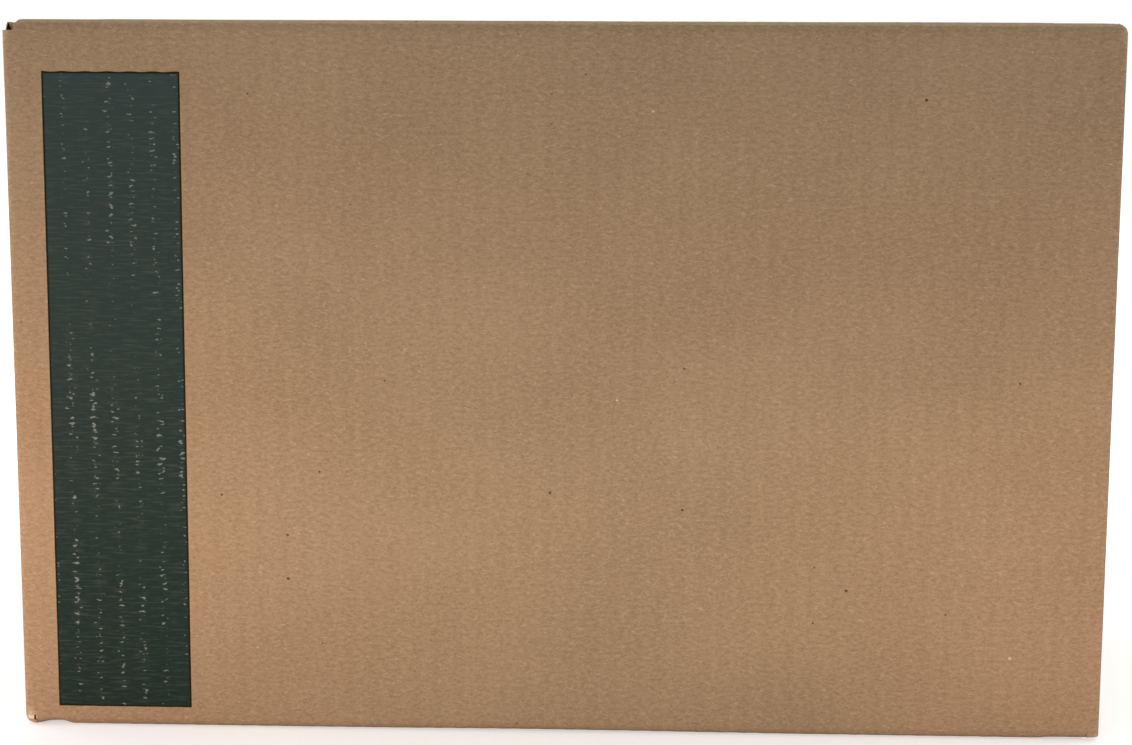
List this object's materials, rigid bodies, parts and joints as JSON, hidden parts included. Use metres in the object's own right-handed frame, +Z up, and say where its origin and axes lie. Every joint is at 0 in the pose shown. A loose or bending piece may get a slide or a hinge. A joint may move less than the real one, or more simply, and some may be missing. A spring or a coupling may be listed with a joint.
{
  "type": "corrugated moving box",
  "caption": "Closed upright slotted box of kraft corrugated board with a dark green band; its two long top flaps open and tape holds the bottom shut.",
  "frame": {"origin": "centre of the underside, on the floor the box stands on", "axes": "+Z up; X along the box's length; the printed long panel faces -Y"},
  "size_m": [0.4148, 0.262, 0.2707],
  "materials": {
    "kraft_board": "matte",
    "band_print": "matte",
    "packing_tape": "gloss"
  },
  "bodies": {
    "box": {"carton": "kraft_board", "bottom_tape": "packing_tape"},
    "front_flap": {"top_flap_front": "kraft_board"},
    "back_flap": {"top_flap_back": "kraft_board"}
  },
  "joints": [
    {"name": "front_flap_fold", "type": "hinge", "parent": "box", "child": "front_flap", "pos_m": [0, -0.12983, 0.26958], "axis": [1, 0, 0], "range_deg": [0, 215]},
    {"name": "back_flap_fold", "type": "hinge", "parent": "box", "child": "back_flap", "pos_m": [0, 0.12983, 0.26958], "axis": [-1, 0, 0], "range_deg": [0, 215]}
  ]
}
